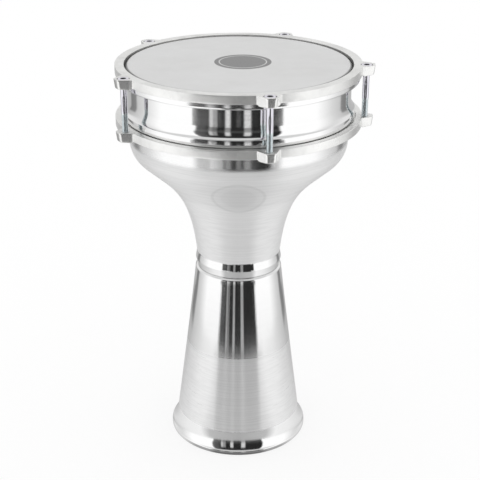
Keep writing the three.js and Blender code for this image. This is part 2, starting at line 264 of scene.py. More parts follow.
# ---------------------------------------------------------------- foot
def spun_foot():
    """One sheet from its shoulder at the waist down to the rolled rim."""
    cone_end = (CONE_END_R, CONE_END_Z)
    cone = bezier([cone_end, (CONE_PULL_R, CONE_PULL_Z), (FOOT_SHOULDER_R, FOOT_TOP_Z - 4)], 34)
    flare = bezier([(FLARE_START_R, FLARE_START_Z), (FLARE_PULL_R, FLARE_PULL_Z), cone_end], 12)[:-1]
    outside = flare + cone
    inner = inward(outside, SHEET)[::-1][1:]
    shoulder = softened(
        [
            cone[-1] + (0,),
            (FOOT_SHOULDER_R - 0.15, FOOT_TOP_Z - 1.6, 1.4),
            (GROOVE_R + 0.5, FOOT_TOP_Z, 0.9),
            (SPIGOT_R + GAP, FOOT_TOP_Z, 0.2),
            (SPIGOT_R + GAP, FOOT_TOP_Z - 4, 0),
        ],
        closed=False,
    )
    rim = softened(
        [
            inner[-1] + (0,),
            (RIM_FLAT_R - FOOT_LAND, 0.0, 0.4),
            (RIM_FLAT_R + 0.2, 0.0, 0),
            (RIM_R, 0.0, RIM_EDGE),
            (RIM_R, RIM_ROLL_Z, 1.4),
            flare[0] + (0,),
        ],
        closed=False,
    )
    return lathe("spun_foot", rim[1:-1] + outside + shoulder[1:] + inner)


# ---------------------------------------------------------------- rings with lugs
def ring_plan(ring_r, depth):
    """One fifth of a ring's plan outline, with its lug in the middle, as (across, out)
    points. depth runs from 0 at the top of the ring to 1 at its underside."""
    reach = LUG_REACH_R - LUG_NOSE_DRAFT * depth
    length = LUG_REACH_R - LUG_ROOT_R
    taper = LUG_TAPER * depth * (reach - LUG_ROOT_R) / length
    nose = Vector((LUG_NOSE_HALF + LUG_FLANK_SLOPE * (LUG_REACH_R - reach) - taper, reach))
    slope = (Vector((LUG_NOSE_HALF + LUG_FLANK_SLOPE * length, LUG_ROOT_R)) - nose).normalized()
    # the flank runs from the nose's corner to the ring's circle
    b = nose.dot(slope)
    c = nose.length_squared - ring_r * ring_r
    root = nose + slope * (-b - math.sqrt(b * b - c))
    leave = math.atan2(root.x, root.y) + LUG_FILLET / ring_r
    on_ring = Vector((ring_r * math.sin(leave), ring_r * math.cos(leave)))
    on_flank = root - slope * LUG_FILLET
    corner_in = Vector((nose.x - LUG_CORNER, reach))
    corner_out = nose + slope * LUG_CORNER
    half = [Vector((0.0, reach)), Vector((corner_in.x * 0.5, reach))]
    half += [Vector(p) for p in bezier([corner_in, nose, corner_out], 8)]
    half += [corner_out.lerp(on_flank, t) for t in (0.05, 0.3, 0.55, 0.75, 0.88, 0.97)]
    half += [Vector(p) for p in bezier([on_flank, root, on_ring], 4)]
    # along the ring itself, closer together near the lug
    points, crowding = 24, 1.3
    for i in range(1, points + 1):
        a = leave + (math.pi / LUGS - leave) * (i / points) ** crowding
        half.append(Vector((ring_r * math.sin(a), ring_r * math.cos(a))))
    return [Vector((-p.x, p.y)) for p in half[:0:-1]] + half


def whole_ring(plan):
    """The whole outline from copies of its fifth, anticlockwise from above."""
    points = []
    for angle in LUG_ANGLES:
        for p in plan[:-1]:
            x = p.x * math.cos(angle) + p.y * math.sin(angle)
            y = p.x * math.sin(angle) - p.y * math.cos(angle)
            points.append(Vector((x, y)))
    return points


def shrunk(points, distances):
    """A closed plan outline moved inwards, each point by its own distance."""
    out = []
    count = len(points)
    for i, p in enumerate(points):
        along = (points[(i + 1) % count] - points[i - 1]).normalized()
        out.append(p - Vector((along.y, -along.x)) * distances[i])
    return out


def flat_face(verts, loops, facing_up):
    """Triangles that fill a flat face between its outer loop and the holes' loops."""
    ids = [k for loop in loops for k in loop]
    edges, start = [], 0
    for loop in loops:
        edges += [(start + k, start + (k + 1) % len(loop)) for k in range(len(loop))]
        start += len(loop)
    flat = [Vector((verts[k][0], verts[k][1])) for k in ids]
    _, _, triangles, origin, _, _ = delaunay_2d_cdt(flat, edges, [], 2, 1e-6)
    holes = []
    for loop in loops[1:]:
        middle = sum((Vector(verts[k][:2]) for k in loop), Vector((0, 0))) / len(loop)
        holes.append((middle, (Vector(verts[loop[0]][:2]) - middle).length))
    faces = []
    for triangle in triangles:
        a, b, c = (ids[origin[k][0]] for k in triangle)
        heart = (Vector(verts[a][:2]) + Vector(verts[b][:2]) + Vector(verts[c][:2])) / 3
        if any((heart - middle).length < radius for middle, radius in holes):
            continue
        ax, ay = verts[a][:2]
        turn = (verts[b][0] - ax) * (verts[c][1] - ay) - (verts[b][1] - ay) * (verts[c][0] - ax)
        faces.append((a, b, c) if (turn > 0) == facing_up else (a, c, b))
    return faces


def lugged_ring(name, ring_r, top, thick, inner_wall, hole_wall):
    """A ring whose outer wall is lofted from plan outlines, with one round hole in each
    lug. A lug's underside falls to its belly and rises a little to its nose. inner_wall and
    hole_wall run from the top face down; a height of None stands for the underside."""

    blend_from = ring_r + 0.15
    blend_width = LUG_BELLY_R + 0.6 - ring_r

    def lug_part(p):
        """0 on the ring itself, 1 from the lug's belly outwards."""
        t = min(1.0, max(0.0, (p.length - blend_from) / blend_width))
        return t * t * (3 - 2 * t)

    def underside(p):
        to_nose = max(0.0, p.length - LUG_BELLY_R) / (LUG_REACH_R - LUG_BELLY_R)
        belly = LUG_BELLY_T + (LUG_NOSE_T - LUG_BELLY_T) * to_nose
        return top - thick - (belly - thick) * lug_part(p)

    verts, faces = [], []

    def add_loop(points):
        verts.extend(points)
        return list(range(len(verts) - len(points), len(verts)))

    def join(loops):
        for low, high in zip(loops, loops[1:]):
            for j in range(len(low)):
                k = (j + 1) % len(low)
                faces.append((low[j], low[k], high[k], high[j]))

    # The outer wall from the underside up. A level is (part, how far, inset): "low" goes up
    # from the underside and "top" down from the top face, both in roundings of the edge, and
    # "mid" goes down from the top as a share of the thickness. The inset is in roundings too.
    quarter = [math.pi / 2 * i / 4 for i in range(5)]
    arc = [(1 - math.sin(a), 1 - math.cos(a)) for a in quarter]
    levels = [("low", 0.0, 1.4)]
    levels += [("low", far, inset) for far, inset in arc[::-1]]
    levels += [("mid", share, 0.0) for share in (0.78, 0.6, 0.4, 0.22)]
    levels += [("top", far, inset) for far, inset in arc]
    levels += [("top", 0.0, 1.4)]
    outer = []
    for part, far, inset in levels:
        plan = whole_ring(ring_plan(ring_r, {"low": 1.0, "mid": far, "top": 0.0}[part]))
        edge = [CAST_EDGE * (1 + lug_part(p)) if part == "low" else CAST_EDGE for p in plan]
        moved = shrunk(plan, [inset * e for e in edge])
        loop = []
        for p, q, e in zip(plan, moved, edge):
            if part == "low":
                z = underside(p) + far * e
            elif part == "mid":
                z = top - far * (top - underside(p))
            else:
                z = top - far * e
            loop.append((q.x, q.y, z))
        outer.append(add_loop(loop))
    join(outer)

    inner = [add_loop(circle(r, top - thick if z is None else z, ROUND)) for r, z in inner_wall]
    join(inner)

    top_loops, low_loops = [outer[-1], inner[0]], [outer[0], inner[-1]]
    for angle in LUG_ANGLES:
        at = Vector((math.sin(angle), -math.cos(angle))) * SCREW_CIRCLE_R
        loops = []
        for r, z in hole_wall:
            ring = [Vector(p[:2]) + at for p in circle(r, 0.0, HOLE_STEPS)]
            loops.append(add_loop([(p.x, p.y, underside(p) if z is None else z) for p in ring]))
        join(loops)
        top_loops.append(loops[0])
        low_loops.append(loops[-1])
    faces += flat_face(verts, top_loops, True)
    faces += flat_face(verts, low_loops, False)
    return make_object(name, verts, faces)


def tension_ring():
    """The upper ring, with a counterbore for each screw's cap."""
    bottom = HEIGHT - RING_T
    bore = softened(
        [
            (RING_BORE_R + FACE_INSET, HEIGHT, 0),
            (RING_BORE_R, HEIGHT, 0.6),
            (RING_BORE_R, bottom, 0.5),
            (RING_BORE_R + FACE_INSET, bottom, 0),
        ],
        closed=False,
    )
    pocket = softened(
        [
            (POCKET_R + 1.0, HEIGHT, 0),
            (POCKET_R + 0.55, HEIGHT, 0.1),
            (POCKET_R, HEIGHT - 0.55, 0.15),
            (POCKET_R, POCKET_FLOOR_Z, 0.4),
            (HOLE_R, POCKET_FLOOR_Z, 0.15),
            (HOLE_R, POCKET_FLOOR_Z - 0.25, 0),
        ],
        closed=False,
    ) + [(HOLE_R + 0.1, None), (HOLE_R + 0.5, None)]
    return lugged_ring("cast_tension_ring", RING_R, HEIGHT, RING_T, bore, pocket)


def anchor_ring():
    """The lower ring, rebated for the bowl's lip, with a chamfered hole for each screw."""
    bottom = ANCHOR_TOP_Z - ANCHOR_T
    inner = softened(
        [
            (ANCHOR_REBATE_R + FACE_INSET, ANCHOR_TOP_Z, 0),
            (ANCHOR_REBATE_R, ANCHOR_TOP_Z, 0.5),
            (ANCHOR_REBATE_R, SEAT_Z, 0.3),
            (ANCHOR_BORE_R, SEAT_Z, 0.3),
            (ANCHOR_BORE_R, bottom, 0.6),
            (ANCHOR_BORE_R + FACE_INSET, bottom, 0),
        ],
        closed=False,
    )
    hole = [
        (HOLE_R + 1.2, ANCHOR_TOP_Z),
        (HOLE_R + 0.7, ANCHOR_TOP_Z),
        (HOLE_R, ANCHOR_TOP_Z - 0.7),
        (HOLE_R, ANCHOR_TOP_Z - 3),
        (HOLE_R, bottom + 0.5),
        (HOLE_R + 0.5, None),
        (HOLE_R + 0.9, None),
    ]
    return lugged_ring("cast_anchor_ring", ANCHOR_R, ANCHOR_TOP_Z, ANCHOR_T, inner, hole)


# ---------------------------------------------------------------- head
def film_head():
    """The film: flat, bent down over the bearing edge, and into the hoop's resin."""
    bend = COLLAR_R + GAP
    dip = HOOP_INNER_R + HOOP_T + GAP
    low_z = HEAD_Z - FILM_T
    root_z = RESIN_TOP_Z + GAP
    under_bend = [(FILM_FLAT_R - 0.4, low_z), (bend - 0.1, HEAD_Z - 0.9), (bend, COLLAR_TOP_Z + 1.5)]
    under_dip = [
        (bend, COLLAR_TOP_Z + 0.9),
        (bend + 0.1, FILM_DIP_Z),
        (dip, FILM_DIP_Z - 0.1),
        (dip, root_z),
    ]
    top_dip = [
        (dip + 0.3, root_z),
        (dip + 0.3, FILM_DIP_Z + 0.4),
        (bend + 0.4, FILM_DIP_Z + 0.4),
        (bend + 0.3, COLLAR_TOP_Z + 1.2),
    ]
    top_bend = [(bend + 0.3, COLLAR_TOP_Z + 1.6), (bend + 0.15, HEAD_Z - 0.4), (FILM_FLAT_R - 0.3, HEAD_Z)]
    under = [(r, low_z) for r in (0, FILM_MIDDLE_R, FILM_EDGE_R)]
    under += bezier(under_bend, 8) + bezier(under_dip, 8)
    top = bezier(top_dip, 8) + bezier(top_bend, 8)
    top += [(r, HEAD_Z) for r in (FILM_EDGE_R, FILM_MIDDLE_R, MARK_R + 1.6, 0)]
    return lathe("film_head", under + top, sharp_deg=50)


def head_mark(place):
    """A plain printed disc on the film."""
    low, top = HEAD_Z + 0.02, HEAD_Z + 0.08
    bevel = [(MARK_R, top - 0.02), (MARK_R - 0.03, top)]
    outline = [(0, low), (MARK_R, low), *bevel, (MARK_HEART_R, top), (0, top)]
    return lathe("head_print", outline, steps=96, place=place)


def rolled_hoop():
    """The channel that the film is cast into, open at the top."""
    outline = softened(
        [
            (HOOP_INNER_R, HOOP_BASE_Z, 0.5),
            (HOOP_R, HOOP_BASE_Z, 1.6),
            (HOOP_R, HOOP_TOP_Z, 0.35),
            (HOOP_R - HOOP_T, HOOP_TOP_Z, 0.25),
            (HOOP_R - HOOP_T, HOOP_BASE_Z + HOOP_T, 1.0),
            (HOOP_INNER_R + HOOP_T, HOOP_BASE_Z + HOOP_T, 0.3),
            (HOOP_INNER_R + HOOP_T, HOOP_INNER_TOP_Z, 0.2),
            (HOOP_INNER_R, HOOP_INNER_TOP_Z, 0.2),
        ]
    )
    return lathe("rolled_hoop", outline)


def cast_resin():
    """The resin in the hoop's channel, slightly hollow on top."""
    inner = HOOP_INNER_R + HOOP_T + GAP
    outer = HOOP_R - HOOP_T - GAP
    base = HOOP_BASE_Z + HOOP_T + GAP
    outline = softened(
        [
            (inner, base, 0.2),
            (outer, base, 1.4),
            (outer, RESIN_TOP_Z + 0.2, 0.3),
            ((inner + outer) / 2, RESIN_TOP_Z - 0.3, 2.0),
            (inner, RESIN_TOP_Z, 0.2),
        ]
    )
    return lathe("hoop_resin", outline)


# ---------------------------------------------------------------- screws and washers
def hexagon(flats, z, steps):
    """A hexagon with as many points as a circle of the same steps."""
    corner = flats / math.sqrt(3)
    per_side = steps // 6
    turns = [math.pi / 3 * k for k in range(7)]
    corners = [Vector((corner * math.cos(a), corner * math.sin(a))) for a in turns]
    ring = []
    for k in range(6):
        for j in range(per_side):
            p = corners[k].lerp(corners[k + 1], j / per_side)
            ring.append((p.x, p.y, z))
    return ring


def thread_rings():
    """The thread's rings, from the screw's rounded tip up to its runout."""
    rings = []
    rows_per_pitch, first_z, crest = 8, 0.5, SHANK_R - 0.02
    rows = int(THREAD_L * rows_per_pitch)
    for row in range(1, rows + 1):
        z = first_z + (THREAD_L - first_z) * row / rows
        ends = min(1.0, z / 1.2, max(0.0, (THREAD_L - z) / 1.5))
        limit = min(crest, TIP_R + z)
        ring = []
        for j in range(SCREW_STEPS):
            turn = j / SCREW_STEPS
            phase = (z / PITCH - turn) % 1.0
            groove = max(0.0, 1.0 - abs(phase - 0.5) / GROOVE_HALF)
            r = min(limit, crest - THREAD_DEPTH * groove * ends)
            a = 2 * math.pi * turn
            ring.append((r * math.cos(a), r * math.sin(a), z))
        rings.append(ring)
    return rings


def knurled_ring(z):
    """One ring round the cap, every other point a little lower."""
    turn = 2 * math.pi / SCREW_STEPS
    radii = [CAP_R - (KNURL if j % 2 else 0.0) for j in range(SCREW_STEPS)]
    return [(r * math.cos(turn * j), r * math.sin(turn * j), z) for j, r in enumerate(radii)]


def screw_mesh():
    """A socket-head cap screw standing on its tip at z = 0."""
    seat = SCREW_L
    top = SCREW_L + CAP_H
    bottom = top - SOCKET_DEPTH
    shank = [
        (SHANK_R, THREAD_L + 0.4),
        (SHANK_R, 36.0),
        (SHANK_R, seat - 0.5),
        (SHANK_R + 0.08, seat - 0.15),
        (SHANK_R + 0.25, seat),
    ]
    cap_base = [(CAP_R - 0.35, seat), (CAP_R - 0.1, seat + 0.1)]
    cap_top = [
        (CAP_R - 0.02, top - 0.85),
        (CAP_R - 0.05, top - 0.6),
        (CAP_R - 0.2, top - 0.25),
        (CAP_R - 0.5, top - 0.03),
        (CAP_R - 0.75, top),
        (3.25, top),
        (3.1, top - 0.04),
    ]
    rings = [[(0.0, 0.0, 0.1)], circle(TIP_FLAT_R, 0.02, SCREW_STEPS), circle(TIP_R, 0.0, SCREW_STEPS)]
    rings += thread_rings()
    rings += [circle(r, z, SCREW_STEPS) for r, z in shank + cap_base]
    rings += [knurled_ring(seat + 0.5), knurled_ring(top - 1.1)]
    rings += [circle(r, z, SCREW_STEPS) for r, z in cap_top]
    rings += [hexagon(SOCKET_FLATS, z, SCREW_STEPS) for z in (top - 0.35, bottom)]
    rings += [circle(1.4, bottom - 0.15, SCREW_STEPS), [(0.0, 0.0, bottom - 0.6)]]
    return loft(rings)


# ---------------------------------------------------------------- materials
class Nodes:
    """Short calls that add nodes to a tree and link them."""

    def __init__(self, tree):
        self.tree = tree

    def node(self, kind, inputs=None, **settings):
        n = self.tree.nodes.new("ShaderNode" + kind)
        for key, value in settings.items():
            setattr(n, key, value)
        for key, value in (inputs or {}).items():
            if isinstance(value, bpy.types.NodeSocket):
                self.tree.links.new(value, n.inputs[key])
            else:
                n.inputs[key].default_value = value
        return n

    def math(self, operation, a, b=0.0):
        return self.node("Math", {0: a, 1: b}, operation=operation).outputs[0]

    def mix(self, factor, a, b):
        rest = self.math("MULTIPLY", a, self.math("SUBTRACT", 1.0, factor))
        return self.math("ADD", rest, self.math("MULTIPLY", b, factor))

    def ramp(self, value, low, high, out_low=0.0, out_high=1.0, smooth=True):
        n = self.node(
            "MapRange",
            {"Value": value, "From Min": low, "From Max": high, "To Min": out_low, "To Max": out_high},
            interpolation_type="SMOOTHSTEP" if smooth else "LINEAR",
        )
        return n.outputs["Result"]

    def stops(self, value, stops):
        """Greys joined by straight lines, from stops of (value, grey)."""
        n = self.node("ValToRGB", {0: value})
        line = n.color_ramp
        line.interpolation = "LINEAR"
        line.elements.remove(line.elements[1])
        line.elements[0].position = stops[0][0]
        line.elements[0].color = grey(stops[0][1])
        for position, brightness in stops[1:]:
            line.elements.new(position).color = grey(brightness)
        return n.outputs[0]


class Shader(Nodes):
    """One Principled material, and the patterns that the materials share."""

    def __init__(self, name, **sockets):
        self.material = bpy.data.materials.new(name)
        self.material.use_nodes = True
        super().__init__(self.material.node_tree)
        self.bsdf = self.tree.nodes["Principled BSDF"]
        for socket, value in sockets.items():
            self.bsdf.inputs[socket.replace("_", " ")].default_value = value
        self.coords = self.node("TexCoord")
        self._xyz = None

    def xyz(self):
        if self._xyz is None:
            self._xyz = self.node("SeparateXYZ", {0: self.coords.outputs["Object"]}).outputs
        return self._xyz

    def radius(self):
        x, y, _ = self.xyz()
        return self.math("SQRT", self.math("ADD", self.math("MULTIPLY", x, x), self.math("MULTIPLY", y, y)))

    def noise(self, vector, scale, detail=3.0, rough=0.55):
        n = self.node("TexNoise", {"Vector": vector, "Scale": scale, "Detail": detail, "Roughness": rough})
        return n.outputs["Fac"]

    def turned_noise(self, along, around, detail):
        """Noise in rings round the axis, with features of 1/along metres along the profile.
        A larger around breaks the rings up into shorter arcs."""
        x, y, z = self.xyz()
        outwards = self.math("MULTIPLY", self.radius(), along)
        upwards = self.math("MULTIPLY", z, along)
        turning = self.math("MULTIPLY", self.math("SINE", self.math("ARCTAN2", y, x)), around)
        spin = self.node("CombineXYZ", {0: outwards, 1: upwards, 2: turning}).outputs[0]
        return self.noise(spin, 1.0, detail)

    def band(self, low, high, soft_low, soft_high, share):
        """share between the heights low and high, with soft ends, and 0 past them."""
        z = self.xyz()[2]
        up = self.ramp(z, low - soft_low, low + soft_low, 0.0, share)
        down = self.ramp(z, high - soft_high, high + soft_high, 1.0, 0.0)
        return self.math("MULTIPLY", up, down)

    def bump(self, height, distance, strength, normal=None):
        inputs = {"Height": height, "Distance": distance, "Strength": strength}
        if normal is not None:
            inputs["Normal"] = normal
        return self.node("Bump", inputs).outputs["Normal"]

    def mix_color(self, factor, a, b):
        n = self.node("Mix", {0: factor, 6: a, 7: b}, data_type="RGBA")
        return n.outputs[2]

    def set(self, socket, value):
        self.tree.links.new(value, self.bsdf.inputs[socket])


def grey(v, tint=(1.0, 1.0, 1.0)):
    return (v * tint[0], v * tint[1], v * tint[2], 1.0)


# The ring pressed into the bowl, in metres: its middle's height, its inside and its width.
STAMP_Z, STAMP_R, STAMP_WIDTH, STAMP_SOFT = 0.2795, 0.0217, 0.0041, 0.0012
STAMP_STRETCH = 1.15      # lengths along the bowl's flank against heights
# Roughness of the spun metal's polish, and of the castings' faces and sides by radius.
POLISH_ROUGH, CAST_FACE_ROUGH, CAST_BODY_ROUGH, CAST_LUG_ROUGH = 0.075, 0.42, 0.31, 0.15


def stamp(s):
    """A faint plain ring round a faint disc on the front of the bowl, as a share of darkening."""
    x, y, z = s.xyz()
    up = s.math("MULTIPLY", s.math("SUBTRACT", z, STAMP_Z), STAMP_STRETCH)
    reach = s.math("SQRT", s.math("ADD", s.math("MULTIPLY", x, x), s.math("MULTIPLY", up, up)))
    outside = STAMP_R + STAMP_WIDTH
    starts = s.ramp(reach, STAMP_R, STAMP_R + STAMP_SOFT)
    ends = s.ramp(reach, outside - STAMP_SOFT, outside, 1.0, 0.0)
    ring = s.math("MULTIPLY", s.math("MULTIPLY", starts, ends), 0.12)
    disc = s.ramp(reach, 0.0145, 0.0180, 0.13, 0.06)
    disc = s.math("MULTIPLY", disc, s.ramp(reach, 0.0235, 0.0255, 1.0, 0.0))
    front = s.ramp(y, -0.02, -0.01, 1.0, 0.0)
    return s.math("MULTIPLY", s.math("ADD", ring, disc), front)


def spun_metal(name, bands, spread, full_rough, full_metallic, full_grey, darker_band, stamped=False):
    """Spun aluminium, mirror-polished but for satin bands. A band is (low, high, softness
    at low, softness at high, share of the full satin), its heights in metres. spread is how
    strongly the spin marks draw highlights out. full_rough, full_metallic and full_grey are
    what the full satin has. darker_band is one band of darker base colour, painted shade on the bowl."""
    s = Shader(name, Anisotropic=spread, Anisotropic_Rotation=0.25)
    satin = 0.0
    for band in bands:
        satin = s.math("MAXIMUM", satin, s.band(*band))
    full = s.ramp(satin, 0.5, 1.0)
    fine = s.turned_noise(2600.0, 3.0, 4.0)
    broad = s.turned_noise(240.0, 0.6, 2.0)
    streaks = s.turned_noise(700.0, 5.0, 4.0)
    blotch = s.noise(s.coords.outputs["Object"], 26.0, 3.0)

    rough = s.ramp(satin, 0.0, 1.0, POLISH_ROUGH, full_rough, smooth=False)
    grain = s.math("MULTIPLY", s.math("SUBTRACT", fine, 0.5), s.ramp(satin, 0, 1, 0.03, 0.12))
    cloud = s.math("MULTIPLY", s.math("SUBTRACT", blotch, 0.5), 0.035)
    rough = s.math("ADD", s.math("ADD", rough, grain), cloud)
    s.set("Roughness", s.math("MAXIMUM", rough, 0.04))
    s.set("Metallic", s.ramp(satin, 0.5, 1.0, 1.0, full_metallic))

    shade = s.math("ADD", s.math("MULTIPLY", broad, 0.05), s.math("MULTIPLY", blotch, 0.03))
    marks = s.math("MULTIPLY", s.ramp(streaks, 0.35, 0.75), s.ramp(satin, 0.3, 1.0, 0.02, 0.16))
    # one band of darker base colour: on the bowl, painted shade where the flank faces down towards the floor
    shade = s.math("ADD", s.math("ADD", shade, marks), s.band(*darker_band))
    if stamped:
        shade = s.math("ADD", shade, stamp(s))
    clean = s.mix_color(full, grey(0.90), grey(full_grey))
    s.set("Base Color", s.mix_color(shade, clean, grey(0.42)))

    s.set("Tangent", s.node("Tangent", direction_type="RADIAL", axis="Z").outputs[0])
    s.set("Normal", s.bump(fine, 0.00002, 0.5, s.bump(broad, 0.00004, 0.35)))
    return s.material


def cast_metal(name):
    """Cast and machined aluminium: satin where it faces up or down, polished round the sides."""
    s = Shader(name)
    normal = s.node("SeparateXYZ", {0: s.coords.outputs["Normal"]}).outputs[2]
    flat = s.ramp(s.math("ABSOLUTE", normal), 0.75, 0.97)
    s.set("Metallic", s.ramp(flat, 0.0, 1.0, 0.82, 1.0))
    grain = s.noise(s.coords.outputs["Object"], 900.0, 3.0, 0.6)
    cloud = s.noise(s.coords.outputs["Object"], 34.0, 4.0, 0.6)
    smear = s.noise(s.coords.outputs["Object"], 75.0, 5.0, 0.65)
    smudge = s.math("ADD", s.ramp(cloud, 0.3, 0.75, 0.0, 0.22), s.ramp(smear, 0.45, 0.75, 0.0, 0.2))
    turned = s.turned_noise(1500.0, 2.0, 3.0)
    # the lugs' noses are polished brighter than the ring itself
    side = s.ramp(s.radius(), 0.1156, 0.1172, CAST_BODY_ROUGH, CAST_LUG_ROUGH)
    rough = s.math("ADD", side, s.math("MULTIPLY", flat, s.math("SUBTRACT", CAST_FACE_ROUGH, side)))
    rough = s.math("ADD", rough, s.math("MULTIPLY", s.math("SUBTRACT", cloud, 0.5), 0.2))
    s.set("Roughness", s.math("ADD", rough, s.math("MULTIPLY", s.math("SUBTRACT", grain, 0.5), 0.06)))
    s.set("Base Color", s.mix_color(smudge, grey(0.90, (1.0, 1.0, 0.985)), grey(0.45)))
    lines = s.bump(turned, 0.00002, 0.35)
    s.set("Normal", s.bump(cloud, 0.0004, 0.4, s.bump(grain, 0.00003, 0.3, lines)))
    return s.material


def hoop_metal(name):
    """Bright turned metal."""
    s = Shader(name, Metallic=1.0)
    turned = s.turned_noise(1800.0, 1.0, 3.0)
    cloud = s.noise(s.coords.outputs["Object"], 40.0, 3.0)
    s.set("Roughness", s.ramp(s.math("ADD", turned, cloud), 0.4, 1.6, 0.06, 0.2))
    s.set("Base Color", s.mix_color(s.math("MULTIPLY", cloud, 0.1), grey(0.92), grey(0.6)))
    s.set("Normal", s.bump(turned, 0.00002, 0.3))
    return s.material


def screw_steel(name, threads=True):
    """Zinc-plated steel: faint violet on the shank, blue-green where the threads are."""
    s = Shader(name, Metallic=1.0)
    _, _, z = s.xyz()
    cloud = s.noise(s.coords.outputs["Object"], 180.0, 3.0)
    grain = s.noise(s.coords.outputs["Object"], 2500.0, 2.0)
    s.set("Roughness", s.ramp(s.math("ADD", cloud, s.math("MULTIPLY", grain, 0.4)), 0.3, 1.1, 0.05, 0.13))
    if threads:
        part = s.ramp(z, THREAD_L * MM - 0.0005, THREAD_L * MM + 0.0015)
        plate = s.mix_color(part, grey(0.80, (0.93, 1.0, 1.02)), grey(0.82, (0.98, 0.96, 1.04)))
        # deep in the hex socket the colour is painted near black: painted shade in the recess
        deep = s.ramp(z, SOCKET_SHADE_Z * MM - 0.0004, SOCKET_SHADE_Z * MM, 1.0, 0.0)
        inside = s.ramp(s.radius(), 0.00290, 0.00300, 1.0, 0.0)
        above = s.ramp(z, (SCREW_L + 1.0) * MM, (SCREW_L + 1.5) * MM)
        painted_socket_shade = s.math("MULTIPLY", s.math("MULTIPLY", deep, inside), above)
        plate = s.mix_color(painted_socket_shade, plate, grey(0.07))
    else:
        plate = grey(0.8, (0.97, 0.98, 1.03))
    s.set("Base Color", s.mix_color(s.math("MULTIPLY", cloud, 0.2), plate, grey(0.42, (0.95, 0.97, 1.05))))
    s.set("Normal", s.bump(grain, 0.00001, 0.3))
    return s.material


def film_plastic(name):
    """Coated polyester film: a fine pebble, slight cloudiness, and a bent-down edge painted dark, as painted
    shade in the gap by the tension ring.
    """
    s = Shader(name, Metallic=0.0, IOR=1.5)
    cloud = s.noise(s.coords.outputs["Object"], 18.0, 4.0, 0.6)
    pebble = s.noise(s.coords.outputs["Object"], 1400.0, 2.0, 0.5)
    smear = s.noise(s.coords.outputs["Object"], 60.0, 5.0, 0.65)
    # the bent-down edge is painted dark grey: painted shade in the gap between the film and the tension ring
    painted_skirt_shade = s.ramp(s.radius(), 0.1018, 0.1032)
    darker, lighter = grey(0.637, (1.0, 1.0, 0.995)), grey(0.672, (0.998, 1.0, 1.0))
    flat = s.mix_color(s.ramp(cloud, 0.3, 0.7), darker, lighter)
    s.set("Base Color", s.mix_color(painted_skirt_shade, flat, grey(0.16)))
    s.set("Roughness", s.ramp(s.math("ADD", smear, s.math("MULTIPLY", pebble, 0.3)), 0.3, 1.0, 0.34, 0.55))
    s.set("Normal", s.bump(pebble, 0.00002, 0.35, s.bump(smear, 0.0001, 0.08)))
    return s.material


def print_ink(name):
    """Dark grey screen print with one plain light ring inside its edge."""
    s = Shader(name, Metallic=0.0, IOR=1.48)
    r = s.radius()
    inside, outside, soft = MARK_RING_R * MM, (MARK_RING_R + MARK_RING_WIDTH) * MM, 0.00015
    starts = s.ramp(r, inside, inside + soft)
    ring = s.math("MULTIPLY", starts, s.ramp(r, outside - soft, outside, 1.0, 0.0))
    mottle = s.noise(s.coords.outputs["Object"], 700.0, 3.0, 0.6)
    ink = s.mix_color(mottle, grey(0.185), grey(0.235))
    s.set("Base Color", s.mix_color(ring, ink, grey(0.62)))
    s.set("Roughness", s.ramp(mottle, 0.3, 0.7, 0.42, 0.55))
    s.set("Normal", s.bump(mottle, 0.00002, 0.3))
    return s.material


def resin_plastic(name):
    """Amber casting resin, glossy on top."""
    s = Shader(name, Metallic=0.0, Coat_Weight=0.3)
    cloud = s.noise(s.coords.outputs["Object"], 90.0, 3.0)
    s.set("Base Color", s.mix_color(cloud, (0.30, 0.25, 0.18, 1.0), (0.42, 0.36, 0.27, 1.0)))
    s.set("Roughness", s.ramp(cloud, 0.3, 0.7, 0.35, 0.5))
    s.set("Normal", s.bump(cloud, 0.0002, 0.3))
    return s.material


# ---------------------------------------------------------------- the drum
def finish_piece(obj, body, slot, material, *nodes):
    """Gives a piece its material and body, and hides the CAD nodes that it stands for. slot is not used."""
    obj.data.materials.append(material)
    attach(obj, body)
    if nodes:
        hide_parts(*nodes)
    return obj


bowl_metal = spun_metal(
    "bowl_spun_metal",
    [(0.1975, 0.3155, 0.0003, 0.0045, 1.0), (0.31, 0.3345, 0.004, 0.0005, 0.24)],
    spread=0.9, full_rough=0.50, full_metallic=0.34, full_grey=0.83,
    # the bowl's band of darker base colour is painted shade where its flank faces down to the floor
    darker_band=(0.262, 0.301, 0.005, 0.005, 0.12), stamped=True,
)
foot_metal = spun_metal(
    "foot_spun_metal", [(0.0215, 0.1005, 0.0012, 0.0012, 1.0)],
    spread=1.0, full_rough=0.30, full_metallic=0.66, full_grey=0.88,
    darker_band=(0.098, 0.155, 0.004, 0.03, 0.12),
)
ring_metal = cast_metal("ring_cast_metal")
screw_metal = screw_steel("screw_zinc")
washer_metal = screw_steel("washer_zinc", threads=False)

finish_piece(spun_bowl(), "shell", "spun_metal", bowl_metal, "bowl_shell")
finish_piece(spun_foot(), "shell", "spun_metal", foot_metal, "foot_shell")
finish_piece(anchor_ring(), "shell", "cast_metal", ring_metal, "anchor_ring")
finish_piece(tension_ring(), "ring", "cast_metal", ring_metal, "tension_ring")
finish_piece(film_head(), "shell", "head_film", film_plastic("film_coated"), "drumhead_film")
mark_place = Matrix.Translation(AXIS + Vector((*MARK_OFFSET, 0.0)) * MM)
finish_piece(head_mark(mark_place), "shell", "head_film", print_ink("print_grey"))
finish_piece(rolled_hoop(), "shell", "hoop_metal", hoop_metal("hoop_bright"), "head_hoop")
finish_piece(cast_resin(), "shell", "resin", resin_plastic("resin_amber"), "head_resin")

